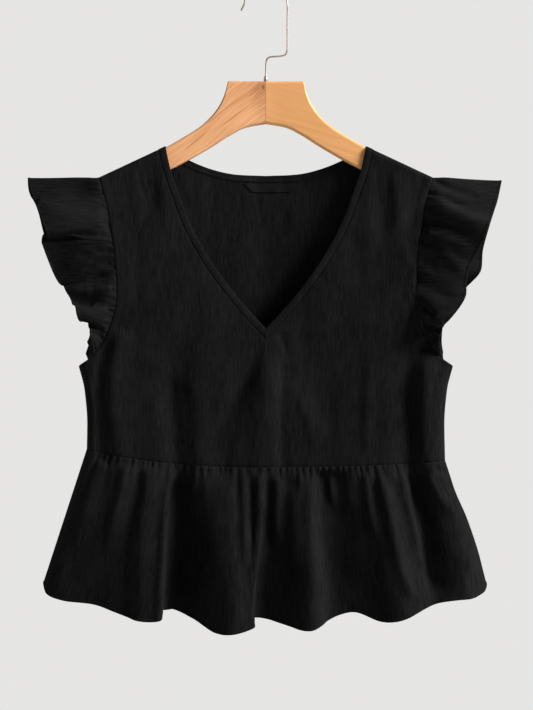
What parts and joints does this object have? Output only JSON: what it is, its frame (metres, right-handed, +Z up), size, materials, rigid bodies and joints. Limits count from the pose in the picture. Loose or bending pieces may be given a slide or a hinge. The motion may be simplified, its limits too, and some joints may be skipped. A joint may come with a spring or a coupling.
{
  "type": "peplum top on a hanger",
  "caption": "V-neck peplum top with gathered ruffle sleeves and a gathered flared peplum, hung on a wooden hanger with a wire hook.",
  "frame": {"origin": "the point on the underside of the hook's arch that rests on a rod", "axes": "+Z up, +X to the right as seen from the front, the garment's front faces -Y"},
  "size_m": [0.5681, 0.0804, 0.7811],
  "materials": {
    "cloth": "matt black woven cloth with a fine slub",
    "band": "the same black cloth, cut on the bias, folded and topstitched",
    "label": "bare black woven satin tape",
    "left_wood": "satin lacquered light hardwood",
    "right_wood": "satin lacquered light hardwood",
    "wire": "drawn nickel-plated wire",
    "collar": "turned nickel-plated collar"
  },
  "bodies": {
    "root": {"front_bodice": "cloth", "back_bodice": "cloth", "front_peplum": "cloth", "back_peplum": "cloth", "left_sleeve_ruffle": "cloth", "right_sleeve_ruffle": "cloth", "left_neck_band": "band", "right_neck_band": "band", "back_neck_band": "band", "neck_label": "label", "left_hanger_arm": "left_wood", "right_hanger_arm": "right_wood", "hanger_hook": "wire", "hook_collar": "collar"}
  },
  "joints": []
}
